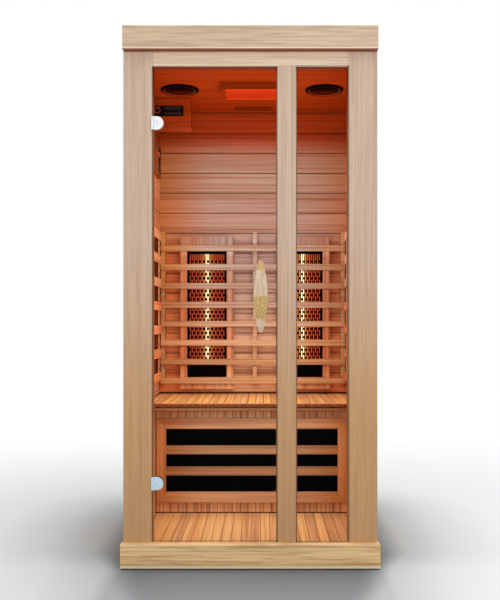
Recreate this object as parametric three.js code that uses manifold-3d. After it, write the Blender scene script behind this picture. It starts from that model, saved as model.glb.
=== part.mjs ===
// One-person infrared sauna cabin: a timber room on a plinth with a glazed front, a hinged
// glass door, a slatted bench and backrest, two slotted tube heaters, flat heaters at the
// calves and sides, and a light, speakers, vent and music player under the ceiling.
// Millimetres, +Z up, the front faces -Y, origin on the ground under the middle of the plinth.
import * as THREE from 'three';
import { mergeGeometries, mergeVertices } from 'three/addons/utils/BufferGeometryUtils.js';
import Module from 'manifold-3d';

const wasm = await Module();
wasm.setup();

// Room
const bodyWidth = 896;
const bodyDepth = 854;
const plinthHeight = 85;
const roomHeight = 1731;
const capHeight = 84;
const wall = 24;
const plinthProud = 6;
const plinthFront = 30;
const capFront = 22;
const edge = 2;
const fit = 0.3;
const sink = 1;

// Cladding boards and their V joints
const boardPitch = 91;
const topBoard = 94;
const jointHalf = 2.5;
const jointDepth = 2.5;

// Floor
const deckThickness = 24;
const deckBoards = 24;
const deckLedge = 40;

// Roof
const ceilingThickness = 14;
const capBoard = 12;
const capFrontBoard = 18;
const roofThickness = 12;
const roofRecess = 8;
const coverLedge = 10;
const coverLedgeHeight = 14;

// Front frame and glass
const frameDepth = 42;
const stileWidth = 99;
const headerHeight = 50;
const paneWidth = 189;
const mullionWidth = 42;
const beadWidth = 21;
const glassLip = 5;
const glassInset = 1;
const glass = 8;
const doorGap = 3;
const doorSillGap = 4;

// Hinges
const hingeUpper = 1562;
const hingeLower = 293;
const hingeHeight = 47;
const hingeReach = 43;
const knuckleRadius = 4.5;
const knuckleGap = 0.5;
const pinRadius = 2;
const knuckleHeight = 17;
const leafThickness = 2;
const clampThickness = 5;
const backplateThickness = 4;
const boltRadius = 7;
const pinOut = 4;
const pinFromStile = 4;

// Door handles
const handleFromEdge = 57.5;
const handleMiddle = 951;
const handleHeight = 252;
const handleWidth = 48;
const handleTip = 18;
const handleGap = 22;
const handleThickness = 17;
const handleFoot = 46;

// Bench
const benchTop = 537;
const benchDepth = 469;
const slatThickness = 10;
const benchSlats = 27;
const benchGap = 4;
const battenHeight = 8;
const battenWidth = 26;
const railHeight = 12;
const railWidth = 60;
const railInset = 2;
const battenInset = 32;
const riserSetback = 76;
const riserThickness = 14;

// Calf heater in front of the riser
const calfFromWall = 40;
const calfHeight = 340;
const calfBottom = 132;
const calfSide = 36;
const calfRail = 42;
const calfDepth = 18;
const calfSlat = 35;
const calfSlatThickness = 8;
const calfSlats = 2;
const calfPanel = 6;

// Backrest and the heaters behind it
const backrestOut = 60;
const restFromWall = 11;
const restSlat = 27;
const restSlatThickness = 12;
const restSlats = 8;
const restPitch = 85;
const restLowest = 599;
const restBatten = 18;
const restBattenRise = 60;
const heaterFromWall = 208;
const heaterShift = 9;
const heaterFrameWidth = 240;
const heaterFrameFoot = 52;
const heaterFrameHead = 64;
const heaterWidth = 178;
const heaterBottom = 614;
const heaterTop = 1181;
const heaterRecess = 12;
const housingWall = 2;
const housingDepth = 34;
const grilleThickness = 1.6;
const slotColumns = 13;
const slotRows = 8;
const slotWidth = 7;
const slotBridge = 8;
const grilleBorder = 12;
const grilleFoot = 66;
const tubeRadius = 6;
const tubeCapRadius = 9;
const tubeCapLength = 14;

// Side guards and the flat heaters behind them
const guardOut = 14;
const guardSlat = 38;
const guardSlatThickness = 8;
const guardEdge = 1;
const guardSlats = 7;
const guardPitch = 104;
const guardLowest = 620;
const guardLength = 369;
const guardBatten = 20;
const sidePanel = 4;
const sidePanelMargin = 8;

// Ceiling fittings
const speakerRadius = 78;
const speakerFromWall = 128;
const speakerDepth = 466;
const speakerDrop = 8;
const lightWidth = 248;
const lightFront = 363;
const lightDepth = 142;
const lightDrop = 30;
const lightBorder = 18;
const diffuser = 4;
const diffuserRecess = 2;
const ventWidth = 176;
const ventFront = 700;
const ventDepth = 70;
const ventDrop = 5;
const ventSlots = 14;
const ventSlot = 6;
const ventRow = 16;
const ventEdge = 4;

// Music player on the left wall under the ceiling
const playerWidth = 162;
const playerFront = 600;
const playerDepth = 62;
const playerDrop = 126;
const playerFaceWidth = 128;
const playerFaceHeight = 43;
const playerFaceDrop = 32;
const playerFace = 4;
const knobRadius = 15.5;
const knobLength = 14;
const knobFromWall = 20;

// Control panel on the left wall
const controlFront = 635;
const controlWidth = 120;
const controlBottom = 1500;
const controlHeight = 140;
const controlBorder = 18;
const controlOut = 16;
const controlRecess = 3;
const buttonRadius = 5;
const buttonLength = 6;
const buttonProud = 2;
const buttonTravel = 1.5;
const buttonSpacing = 26;
const buttonHeight = 24;

// Power supply in the roof space
const powerWidth = 220;
const powerDepth = 180;
const powerHeight = 36;
const powerEdge = 4;

// Places worked out from the sizes above
const halfBody = bodyWidth / 2;
const halfRoom = halfBody - wall;
const halfPlinth = halfBody + plinthProud;
const bodyTop = plinthHeight + roomHeight;
const overallTop = bodyTop + capHeight;
const handleReach = handleGap + handleThickness - glassInset;
const frontReach = Math.max(plinthFront, handleReach);
const frontFace = frontReach - (frontReach + bodyDepth + plinthProud) / 2;
const behind = (depth) => frontFace + depth;
const backInside = behind(bodyDepth - wall);
const backOutside = behind(bodyDepth);
const stileEdge = halfBody - stileWidth;
const headerBottom = bodyTop - headerHeight;
const beadRight = stileEdge - paneWidth;
const beadLeft = beadRight - beadWidth;
const mullionLeft = beadLeft - mullionWidth;
const glassFront = behind(glassInset);
const glassBack = glassFront + glass;
const lipFront = glassBack + fit;
const pinX = -stileEdge + pinFromStile;
const pinY = behind(-pinOut);

// Shapes
function toSolid(geometry) {
  const bare = geometry.clone();
  bare.deleteAttribute('normal');
  bare.deleteAttribute('uv');
  const merged = mergeVertices(bare, 1e-4);
  const vertProperties = new Float32Array(merged.attributes.position.array);
  const triVerts = new Uint32Array(merged.index.array);
  return new wasm.Manifold(new wasm.Mesh({ numProp: 3, vertProperties, triVerts }));
}

function toGeometry(solid) {
  const mesh = solid.getMesh();
  const geometry = new THREE.BufferGeometry();
  geometry.setAttribute('position', new THREE.BufferAttribute(new Float32Array(mesh.vertProperties), 3));
  geometry.setIndex(Array.from(mesh.triVerts));
  geometry.computeVertexNormals();
  return geometry;
}

function join(first, ...others) {
  return toGeometry(others.reduce((solid, geometry) => solid.add(toSolid(geometry)), toSolid(first)));
}

function cut(first, ...others) {
  return toGeometry(others.reduce((solid, geometry) => solid.subtract(toSolid(geometry)), toSolid(first)));
}

function box([x0, x1], [y0, y1], [z0, z1]) {
  const geometry = new THREE.BoxGeometry(x1 - x0, y1 - y0, z1 - z0);
  return geometry.translate((x0 + x1) / 2, (y0 + y1) / 2, (z0 + z1) / 2);
}

const toPoints = (pairs) => pairs.map(([a, b]) => new THREE.Vector2(a, b));

function shapeOf(outline) {
  return outline instanceof THREE.Shape ? outline : new THREE.Shape(toPoints(outline));
}

function extrude(outline, length) {
  const settings = { depth: length, bevelEnabled: false, curveSegments: 12 };
  return new THREE.ExtrudeGeometry(shapeOf(outline), settings);
}

const unitX = new THREE.Vector3(1, 0, 0);
const unitY = new THREE.Vector3(0, 1, 0);
const unitZ = new THREE.Vector3(0, 0, 1);

// Outline in (y, z), carried from x0 to x1
function alongX(outline, [x0, x1]) {
  const turn = new THREE.Matrix4().makeBasis(unitY, unitZ, unitX);
  return extrude(outline, x1 - x0).applyMatrix4(turn).translate(x0, 0, 0);
}

// Outline in (x, z), carried from y0 to y1
function alongY(outline, [y0, y1]) {
  const turn = new THREE.Matrix4().makeBasis(unitX, unitZ, unitY.clone().negate());
  return extrude(outline, y1 - y0).applyMatrix4(turn).translate(0, y1, 0);
}

// Outline in (x, y), carried from z0 to z1
function alongZ(outline, [z0, z1]) {
  return extrude(outline, z1 - z0).translate(0, 0, z0);
}

function rectangle([a0, a1], [b0, b1]) {
  return [[a0, b0], [a1, b0], [a1, b1], [a0, b1]];
}

function eased([a0, a1], [b0, b1], ease = edge) {
  return [
    [a0 + ease, b0], [a1 - ease, b0], [a1, b0 + ease], [a1, b1 - ease],
    [a1 - ease, b1], [a0 + ease, b1], [a0, b1 - ease], [a0, b0 + ease],
  ];
}

function framed(outer, inner) {
  const shape = shapeOf(outer);
  shape.holes.push(new THREE.Path(toPoints(inner)));
  return shape;
}

function cylinderZ(radius, [z0, z1], x, y, sides = 24) {
  const geometry = new THREE.CylinderGeometry(radius, radius, z1 - z0, sides);
  return geometry.rotateX(Math.PI / 2).translate(x, y, (z0 + z1) / 2);
}

function cylinderY(radius, [y0, y1], x, z, sides = 24) {
  return new THREE.CylinderGeometry(radius, radius, y1 - y0, sides).translate(x, (y0 + y1) / 2, z);
}

function cylinderX(radius, [x0, x1], y, z, sides = 24) {
  const geometry = new THREE.CylinderGeometry(radius, radius, x1 - x0, sides);
  return geometry.rotateZ(Math.PI / 2).translate((x0 + x1) / 2, y, z);
}

// Positions of the joints between boards from low to high, counted from a known joint
function jointsBetween(low, high, start, pitch) {
  const joints = [];
  const first = start - Math.floor((start - low - 2 * jointHalf) / pitch) * pitch;
  for (let place = first; place < high - 2 * jointHalf; place += pitch) joints.push(place);
  return joints;
}

// A face of V-jointed boards as [place, level] pairs; inward is the direction into the wood
function boardFace(low, high, level, inward, joints) {
  const face = [[low, level]];
  for (const place of joints) {
    face.push([place - jointHalf, level], [place, level + inward * jointDepth], [place + jointHalf, level]);
  }
  face.push([high, level]);
  return face;
}

const flip = ([a, b]) => [b, a];
const mirror = ([x, z]) => [-x, z];

// Materials
const finish = (color, roughness, metalness = 0) => (
  new THREE.MeshStandardMaterial({ color, roughness, metalness })
);
const outerWood = finish(0xcdb090, 0.6);
const innerWood = finish(0xc98f62, 0.6);
const blackPaint = finish(0x141212, 0.55);
const blackPlastic = finish(0x18161a, 0.4);
const chrome = finish(0xd6dade, 0.15, 1);
const clearGlass = finish(0xdfe8e6, 0.05);
const quartz = finish(0xffe2a8, 0.2);
const redLens = finish(0xe02010, 0.3);

const cabin = new THREE.Group();

function addTo(parent, name, geometry, material) {
  const mesh = new THREE.Mesh(geometry, material);
  mesh.name = name;
  parent.add(mesh);
  return mesh;
}

// Plinth and floor
function plinth() {
  const height = [0, plinthHeight];
  const sideDepth = [behind(0), backInside];
  const front = alongX(eased([behind(-plinthFront), behind(0)], height), [-halfPlinth, halfPlinth]);
  const rear = alongX(eased([backInside, backOutside + plinthProud], height), [-halfPlinth, halfPlinth]);
  addTo(cabin, 'plinth_front', front, outerWood);
  addTo(cabin, 'plinth_rear', rear, outerWood);
  const seat = plinthHeight - deckThickness;
  const inner = halfRoom - deckLedge;
  const section = [
    [inner, 0], [halfPlinth - edge, 0], [halfPlinth, edge], [halfPlinth, plinthHeight - edge],
    [halfPlinth - edge, plinthHeight], [halfRoom, plinthHeight], [halfRoom, seat], [inner, seat],
  ];
  addTo(cabin, 'plinth_right', alongY(section, sideDepth), outerWood);
  addTo(cabin, 'plinth_left', alongY(section.map(mirror), sideDepth), outerWood);
}

function floorDeck() {
  const pitch = 2 * halfRoom / deckBoards;
  const joints = jointsBetween(-halfRoom, halfRoom, 0, pitch);
  const underside = plinthHeight - deckThickness;
  const topFace = boardFace(-halfRoom, halfRoom, plinthHeight, -1, joints);
  const section = [...topFace, [halfRoom, underside], [-halfRoom, underside]];
  addTo(cabin, 'floor_deck', alongY(section, [behind(0), backInside]), innerWood);
}

// Wall panels, boarded inside and out
function walls() {
  const joints = jointsBetween(plinthHeight, bodyTop, bodyTop - topBoard, boardPitch);
  const inside = boardFace(plinthHeight, bodyTop, halfRoom, 1, joints).map(flip);
  const outside = boardFace(plinthHeight, bodyTop, halfBody, -1, joints).map(flip);
  const section = [...inside, ...outside.reverse()];
  const run = [behind(frameDepth), backOutside];
  addTo(cabin, 'wall_right', alongY(section, run), outerWood);
  addTo(cabin, 'wall_left', alongY(section.map(mirror), run), outerWood);
  const rearInside = boardFace(plinthHeight, bodyTop, backInside, 1, joints).map(flip);
  const rearOutside = boardFace(plinthHeight, bodyTop, backOutside, -1, joints).map(flip);
  const rearSection = [...rearInside, ...rearOutside.reverse()];
  addTo(cabin, 'wall_back', alongX(rearSection, [-halfRoom, halfRoom]), outerWood);
}

// Ceiling, cap boards and roof cover
function roof() {
  const halfInner = halfBody - capBoard;
  const front = behind(capFrontBoard - capFront);
  const rear = backOutside - capBoard;
  const ceilingTop = bodyTop + ceilingThickness;
  const joints = jointsBetween(behind(frameDepth), rear, backInside, boardPitch);
  const underside = boardFace(front, rear, bodyTop, 1, joints);
  const ceilingSection = [...underside, [rear, ceilingTop], [front, ceilingTop]];
  addTo(cabin, 'ceiling', alongX(ceilingSection, [-halfInner, halfInner]), innerWood);
  const height = [bodyTop, overallTop];
  const width = [-halfBody, halfBody];
  addTo(cabin, 'cap_front', alongX(eased([front - capFrontBoard, front], height), width), outerWood);
  addTo(cabin, 'cap_rear', alongX(eased([rear, backOutside], height), width), outerWood);
  const coverTop = overallTop - roofRecess;
  const coverBottom = coverTop - roofThickness;
  const ledge = halfInner - coverLedge;
  const ledgeBottom = coverBottom - coverLedgeHeight;
  const section = [
    [halfInner, bodyTop], [halfBody - edge, bodyTop], [halfBody, bodyTop + edge],
    [halfBody, overallTop - edge], [halfBody - edge, overallTop], [halfInner, overallTop],
    [halfInner, coverBottom], [ledge, coverBottom], [ledge, ledgeBottom], [halfInner, ledgeBottom],
  ];
  addTo(cabin, 'cap_right', alongY(section, [front, rear]), outerWood);
  addTo(cabin, 'cap_left', alongY(section.map(mirror), [front, rear]), outerWood);
  addTo(cabin, 'roof_cover', box([-halfInner, halfInner], [front, rear], [coverBottom, coverTop]), outerWood);
  const powerFront = (front + rear) / 2;
  const power = eased([0, powerWidth], [powerFront, powerFront + powerDepth], powerEdge);
  addTo(cabin, 'power_box', alongZ(power, [ceilingTop, ceilingTop + powerHeight]), blackPaint);
}

// An upright of the front frame: full width in front of the glass, with lips behind it
function upright([x0, x1], lipLeft, lipRight, top, topBehind) {
  const front = behind(0);
  const face = [
    [x0 + edge, front], [x1 - edge, front], [x1, front + edge],
    [x1, lipFront], [x0, lipFront], [x0, front + edge],
  ];
  const back = rectangle([x0 - lipLeft, x1 + lipRight], [lipFront, behind(frameDepth)]);
  return join(alongZ(face, [plinthHeight, top]), alongZ(back, [plinthHeight, topBehind]));
}

function frontFrame() {
  const underHeader = headerBottom - glassLip;
  addTo(cabin, 'stile_left', upright([-halfBody, -stileEdge], 0, glassLip, bodyTop, bodyTop), outerWood);
  addTo(cabin, 'stile_right', upright([stileEdge, halfBody], glassLip, 0, bodyTop, bodyTop), outerWood);
  const mullion = upright([mullionLeft, beadLeft], glassLip, 0, headerBottom, underHeader);
  addTo(cabin, 'mullion', mullion, outerWood);
  const bead = upright([beadLeft, beadRight], 0, glassLip, headerBottom, underHeader);
  addTo(cabin, 'glazing_bead', bead, outerWood);
  const front = behind(0);
  const face = [
    [front, headerBottom + edge], [front + edge, headerBottom], [lipFront, headerBottom],
    [lipFront, bodyTop], [front, bodyTop],
  ];
  const faceBar = alongX(face, [-stileEdge, stileEdge]);
  const back = rectangle([lipFront, behind(frameDepth)], [underHeader, bodyTop]);
  const backBar = alongX(back, [glassLip - stileEdge, stileEdge - glassLip]);
  addTo(cabin, 'header_rail', join(faceBar, backBar), outerWood);
  const pane = rectangle([beadRight + fit, stileEdge - fit], [plinthHeight + fit, headerBottom - fit]);
  addTo(cabin, 'fixed_glass', alongY(pane, [glassFront, glassBack]), clearGlass);
}

// Door: glass, hinges and handles
const doorLeft = -stileEdge + doorGap;
const doorRight = mullionLeft - doorGap;
const clampLeft = pinX + knuckleRadius + knuckleGap;
const clampRight = pinX + hingeReach - pinFromStile;
const boltX = clampRight - hingeHeight / 2;

function doorGlass() {
  const height = [plinthHeight + doorSillGap, headerBottom - doorGap];
  const shape = shapeOf(rectangle([doorLeft, doorRight], height));
  for (const z of [hingeLower, hingeUpper]) {
    shape.holes.push(new THREE.Path().absarc(boltX, z, boltRadius + fit, 0, 2 * Math.PI, true));
  }
  addTo(cabin, 'door_glass', alongY(shape, [glassFront, glassBack]), clearGlass);
}

// D-shaped plate, straight beside the pin and round towards the door
function plateOutline(z) {
  const radius = hingeHeight / 2;
  const shape = new THREE.Shape();
  shape.moveTo(clampLeft, z - radius);
  shape.lineTo(boltX, z - radius);
  shape.absarc(boltX, z, radius, -Math.PI / 2, Math.PI / 2, false);
  shape.lineTo(clampLeft, z + radius);
  return shape;
}

function hinge(place, z) {
  const half = hingeHeight / 2;
  const middle = knuckleHeight / 2;
  const leaf = box([-stileEdge, -stileEdge + leafThickness], [pinY, glassBack], [z - half, z + half]);
  const clearance = cylinderZ(knuckleRadius + fit, [z - middle - fit, z + middle + fit], pinX, pinY);
  const lower = cylinderZ(knuckleRadius, [z - half, z - middle - fit], pinX, pinY);
  const upper = cylinderZ(knuckleRadius, [z + middle + fit, z + half], pinX, pinY);
  const pin = cylinderZ(pinRadius, [z - half, z + half], pinX, pinY);
  addTo(cabin, `hinge_leaf_${place}`, join(cut(leaf, clearance), lower, upper, pin), chrome);
  const plate = alongY(plateOutline(z), [glassFront - clampThickness, glassFront]);
  const barrel = cylinderZ(knuckleRadius, [z - middle, z + middle], pinX, pinY);
  const webDepth = [glassFront - clampThickness, glassFront];
  const web = box([pinX, clampLeft + sink], webDepth, [z - middle, z + middle]);
  const bore = cylinderZ(pinRadius + fit, [z - half, z + half], pinX, pinY);
  addTo(cabin, `hinge_clamp_${place}`, cut(join(plate, barrel, web), bore), chrome);
  const backplate = alongY(plateOutline(z), [glassBack, glassBack + backplateThickness]);
  const bolt = cylinderY(boltRadius, [glassFront, glassBack + sink], boltX, z);
  addTo(cabin, `hinge_backplate_${place}`, join(backplate, bolt), chrome);
}

// A lens-shaped grip seen from the front, bowed away from the glass on two feet
function handleOutline(x) {
  const half = handleHeight / 2;
  const tip = handleTip / 2;
  const bulge = handleWidth - tip;
  const shape = new THREE.Shape();
  shape.moveTo(x - tip, handleMiddle - half + tip);
  shape.quadraticCurveTo(x - tip, handleMiddle - half, x, handleMiddle - half);
  shape.quadraticCurveTo(x + tip, handleMiddle - half, x + tip, handleMiddle - half + tip);
  shape.quadraticCurveTo(x + bulge, handleMiddle, x + tip, handleMiddle + half - tip);
  shape.quadraticCurveTo(x + tip, handleMiddle + half, x, handleMiddle + half);
  shape.quadraticCurveTo(x - tip, handleMiddle + half, x - tip, handleMiddle + half - tip);
  shape.quadraticCurveTo(x - bulge, handleMiddle, x - tip, handleMiddle - half + tip);
  return shape;
}

// Side view of the grip as (y, z), where out is the direction away from the glass
function handleSide(face, out) {
  const half = handleHeight / 2;
  const root = face + out * handleThickness;
  const crest = face + out * (2 * (handleGap + handleThickness) - handleThickness);
  const arch = face + out * 2 * handleGap;
  const shape = new THREE.Shape();
  shape.moveTo(face, handleMiddle - half);
  shape.lineTo(root, handleMiddle - half);
  shape.quadraticCurveTo(crest, handleMiddle, root, handleMiddle + half);
  shape.lineTo(face, handleMiddle + half);
  shape.lineTo(face, handleMiddle + half - handleFoot);
  shape.quadraticCurveTo(arch, handleMiddle, face, handleMiddle - half + handleFoot);
  return shape;
}

function handle(name, face, out) {
  const x = doorRight - handleFromEdge;
  const reach = face + out * 2 * (handleGap + handleThickness);
  const front = alongY(handleOutline(x), [Math.min(face, reach), Math.max(face, reach)]);
  const side = alongX(handleSide(face, out), [x - handleWidth, x + handleWidth]);
  addTo(cabin, name, toGeometry(toSolid(front).intersect(toSolid(side))), outerWood);
}

// Bench
const benchFront = backInside - benchDepth;
const battenTop = benchTop - slatThickness;
const railTop = battenTop - battenHeight;
const riserFront = benchFront + riserSetback;

function bench() {
  const pitch = 2 * halfRoom / benchSlats;
  const slats = Array.from({ length: benchSlats }, (_, i) => {
    const left = -halfRoom + i * pitch + benchGap / 2;
    return box([left, left + pitch - benchGap], [benchFront, backInside], [battenTop, benchTop]);
  });
  const middle = (benchFront + backInside - battenWidth) / 2;
  const starts = [benchFront + battenInset, middle, backInside - battenWidth];
  const battens = starts.map((y, i) => {
    const drop = i === starts.length - 1 ? railHeight : 0;
    return box([-halfRoom, halfRoom], [y, y + battenWidth], [railTop - drop, battenTop + sink]);
  });
  addTo(cabin, 'bench_top', join(battens[0], ...battens.slice(1), ...slats), innerWood);
  const railStart = benchFront + railInset;
  const rail = eased([railStart, railStart + railWidth], [railTop - railHeight, railTop]);
  addTo(cabin, 'bench_front_rail', alongX(rail, [-halfRoom, halfRoom]), innerWood);
  const boards = Math.floor(benchSlats / 2);
  const joints = Array.from({ length: 2 * boards }, (_, i) => (i - boards + 0.5) * pitch);
  const face = boardFace(-halfRoom, halfRoom, riserFront, 1, joints);
  const rear = riserFront + riserThickness;
  const riser = alongZ([...face, [halfRoom, rear], [-halfRoom, rear]], [plinthHeight, railTop - railHeight]);
  addTo(cabin, 'bench_riser', riser, innerWood);
}

function calfHeater() {
  const half = halfRoom - calfFromWall;
  const top = calfBottom + calfHeight;
  const opening = [[calfSide - half, half - calfSide], [calfBottom + calfRail, top - calfRail]];
  const front = riserFront - calfDepth;
  const border = framed(rectangle([-half, half], [calfBottom, top]), rectangle(...opening));
  const frame = alongY(border, [front, riserFront]);
  const [low, high] = opening[1];
  const pitch = (high - low) / (calfSlats + 1);
  const slats = Array.from({ length: calfSlats }, (_, i) => {
    const middle = low + (i + 1) * pitch;
    const height = [middle - calfSlat / 2, middle + calfSlat / 2];
    return box([sink - half, half - sink], [front, front + calfSlatThickness], height);
  });
  addTo(cabin, 'calf_guard', join(frame, ...slats), innerWood);
  const [x, z] = opening.map(([from, to]) => [from + fit, to - fit]);
  addTo(cabin, 'calf_heater', box(x, [riserFront - calfPanel, riserFront], z), blackPaint);
}

// Backrest: level slats on upright battens that stand off the back wall
const restFront = backInside - backrestOut;
const restBack = restFront + restSlatThickness;

function backrest() {
  const half = halfRoom - restFromWall;
  const slats = Array.from({ length: restSlats }, (_, i) => {
    const z = restLowest + i * restPitch;
    return alongX(eased([restFront, restBack], [z - restSlat / 2, z + restSlat / 2]), [-half, half]);
  });
  const bottom = restLowest - restSlat / 2;
  const top = restLowest + (restSlats - 1) * restPitch + restSlat / 2 + restBattenRise;
  const battens = [-half, heaterShift - restBatten / 2, half - restBatten].map((x) => (
    box([x, x + restBatten], [restBack - sink, backInside], [bottom, top])
  ));
  addTo(cabin, 'backrest', join(battens[0], ...battens.slice(1), ...slats), innerWood);
}

// Slotted cover: columns of upright slots, every other column shifted by half a slot
function slottedSheet(x, [y0, y1]) {
  const half = heaterWidth / 2 - fit;
  const sheet = box([x - half, x + half], [y0, y1], [heaterBottom + fit, heaterTop - fit]);
  const slots = [];
  const pitch = (2 * half - 2 * grilleBorder) / slotColumns;
  const bottom = heaterBottom + grilleFoot;
  const rowPitch = (heaterTop - grilleBorder - bottom) / (slotRows + 0.5);
  for (let column = 0; column < slotColumns; column += 1) {
    const middle = x - half + grilleBorder + (column + 0.5) * pitch;
    const lift = column % 2 ? rowPitch / 2 : 0;
    for (let row = 0; row < slotRows; row += 1) {
      const low = bottom + lift + row * rowPitch;
      const across = [middle - slotWidth / 2, middle + slotWidth / 2];
      slots.push(box(across, [y0 - sink, y1 + sink], [low, low + rowPitch - slotBridge]));
    }
  }
  return cut(sheet, mergeGeometries(slots));
}

function tubeHeater(side, x) {
  const frameFront = restBack;
  const halfFrame = heaterFrameWidth / 2;
  const frameHeight = [heaterBottom - heaterFrameFoot, heaterTop + heaterFrameHead];
  const outer = rectangle([x - halfFrame, x + halfFrame], frameHeight);
  const inner = rectangle([x - heaterWidth / 2, x + heaterWidth / 2], [heaterBottom, heaterTop]);
  addTo(cabin, `heater_frame_${side}`, alongY(framed(outer, inner), [frameFront, backInside]), innerWood);
  const grilleFront = frameFront + heaterRecess;
  const grilleBack = grilleFront + grilleThickness;
  addTo(cabin, `heater_grille_${side}`, slottedSheet(x, [grilleFront, grilleBack]), blackPaint);
  const half = heaterWidth / 2 - fit;
  const z = [heaterBottom + fit, heaterTop - fit];
  const trayBack = Math.min(grilleBack + housingDepth, backInside);
  const tray = box([x - half, x + half], [grilleBack, trayBack], z);
  const hollow = box(
    [x - half + housingWall, x + half - housingWall],
    [grilleBack - sink, trayBack - housingWall],
    [z[0] + housingWall, z[1] - housingWall],
  );
  addTo(cabin, `heater_housing_${side}`, cut(tray, hollow), blackPaint);
  const ends = [z[0] + housingWall + fit, z[1] - housingWall - fit];
  const profile = [
    [0, ends[0]], [tubeCapRadius, ends[0]], [tubeCapRadius, ends[0] + tubeCapLength],
    [tubeRadius, ends[0] + tubeCapLength], [tubeRadius, ends[1] - tubeCapLength],
    [tubeCapRadius, ends[1] - tubeCapLength], [tubeCapRadius, ends[1]], [0, ends[1]],
  ];
  const tube = new THREE.LatheGeometry(toPoints(profile), 16).rotateX(Math.PI / 2);
  addTo(cabin, `heater_tube_${side}`, tube.translate(x, (grilleBack + trayBack) / 2, 0), quartz);
}

// Side guard: level slats on two upright battens, with a flat heater between the battens
function sideGuard(side, sign) {
  const face = halfRoom - guardOut;
  const back = face + guardSlatThickness;
  const rear = restFront;
  const front = rear - guardLength;
  const across = (a, b) => [Math.min(sign * a, sign * b), Math.max(sign * a, sign * b)];
  const slats = Array.from({ length: guardSlats }, (_, i) => {
    const z = guardLowest + i * guardPitch;
    const height = [z - guardSlat / 2, z + guardSlat / 2];
    return alongY(eased(across(face, back), height, guardEdge), [front, rear]);
  });
  const bottom = guardLowest - guardSlat / 2;
  const top = guardLowest + (guardSlats - 1) * guardPitch + guardSlat / 2;
  const battens = [front, rear - guardBatten].map((y) => (
    box(across(back - sink, halfRoom), [y, y + guardBatten], [bottom, top])
  ));
  addTo(cabin, `side_guard_${side}`, join(battens[0], battens[1], ...slats), innerWood);
  const run = [front + guardBatten + sidePanelMargin, rear - guardBatten - sidePanelMargin];
  const height = [bottom + sidePanelMargin, top - sidePanelMargin];
  const panel = box(across(halfRoom - sidePanel, halfRoom), run, height);
  addTo(cabin, `side_heater_${side}`, panel, blackPaint);
}

// Ceiling fittings
function speaker(side, x) {
  const face = bodyTop - speakerDrop;
  const profile = [
    [0, bodyTop], [speakerRadius, bodyTop], [speakerRadius, bodyTop - speakerDrop / 2],
    [speakerRadius * 0.95, face], [speakerRadius * 0.85, face],
    [speakerRadius * 0.8, face + speakerDrop / 4], [speakerRadius * 0.3, bodyTop - speakerDrop / 4],
    [speakerRadius * 0.2, bodyTop - speakerDrop / 2], [0, bodyTop - speakerDrop * 0.6],
  ];
  const body = new THREE.LatheGeometry(toPoints(profile).reverse(), 28).rotateX(Math.PI / 2);
  addTo(cabin, `speaker_${side}`, body.translate(x, behind(speakerDepth), 0), blackPlastic);
}

function ceilingLight() {
  const half = lightWidth / 2;
  const y = [behind(lightFront), behind(lightFront + lightDepth)];
  const bottom = bodyTop - lightDrop;
  const inside = [lightBorder - half, half - lightBorder];
  const insideY = [y[0] + lightBorder, y[1] - lightBorder];
  const frame = alongZ(framed(eased([-half, half], y), rectangle(inside, insideY)), [bottom, bodyTop]);
  addTo(cabin, 'light_box', frame, innerWood);
  const lens = [inside, insideY].map(([from, to]) => [from + fit, to - fit]);
  const low = bottom + diffuserRecess;
  addTo(cabin, 'light_diffuser', box(...lens, [low, low + diffuser]), redLens);
}

function ceilingVent() {
  const half = ventWidth / 2;
  const front = behind(ventFront);
  const outline = eased([-half, half], [front, front + ventDepth], ventEdge);
  const plate = alongZ(outline, [bodyTop - ventDrop, bodyTop]);
  const pitch = ventWidth / (ventSlots + 1);
  const slots = [];
  for (const row of [-1, 1]) {
    const middle = front + ventDepth / 2 + row * ventRow;
    for (let i = 1; i <= ventSlots; i += 1) {
      const x = i * pitch - half;
      const across = [x - ventSlot / 2, x + ventSlot / 2];
      const along = [middle - ventSlot / 2, middle + ventSlot / 2];
      slots.push(box(across, along, [bodyTop - ventDrop - sink, bodyTop + sink]));
    }
  }
  addTo(cabin, 'ceiling_vent', cut(plate, mergeGeometries(slots)), innerWood);
}

// Music player: a timber box in the corner of wall and ceiling with a black face and a knob
function musicPlayer() {
  const front = behind(playerFront);
  const left = -halfRoom;
  const height = [bodyTop - playerDrop, bodyTop];
  const housing = alongX(eased([front, front + playerDepth], height), [left, left + playerWidth]);
  addTo(cabin, 'player_housing', housing, innerWood);
  const top = bodyTop - playerFaceDrop;
  const face = eased([left + edge, left + edge + playerFaceWidth], [top - playerFaceHeight, top]);
  addTo(cabin, 'player_face', alongY(face, [front - playerFace, front]), blackPlastic);
  const profile = [
    [0, 0], [knobRadius, 0], [knobRadius, knobLength * 0.75],
    [knobRadius - edge, knobLength], [0, knobLength],
  ];
  const knob = new THREE.LatheGeometry(toPoints(profile), 32).rotateX(Math.PI);
  const knobZ = top - playerFaceHeight / 2;
  knob.translate(left + knobFromWall, front - playerFace - fit, knobZ);
  addTo(cabin, 'player_knob', knob, blackPlastic);
}

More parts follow.
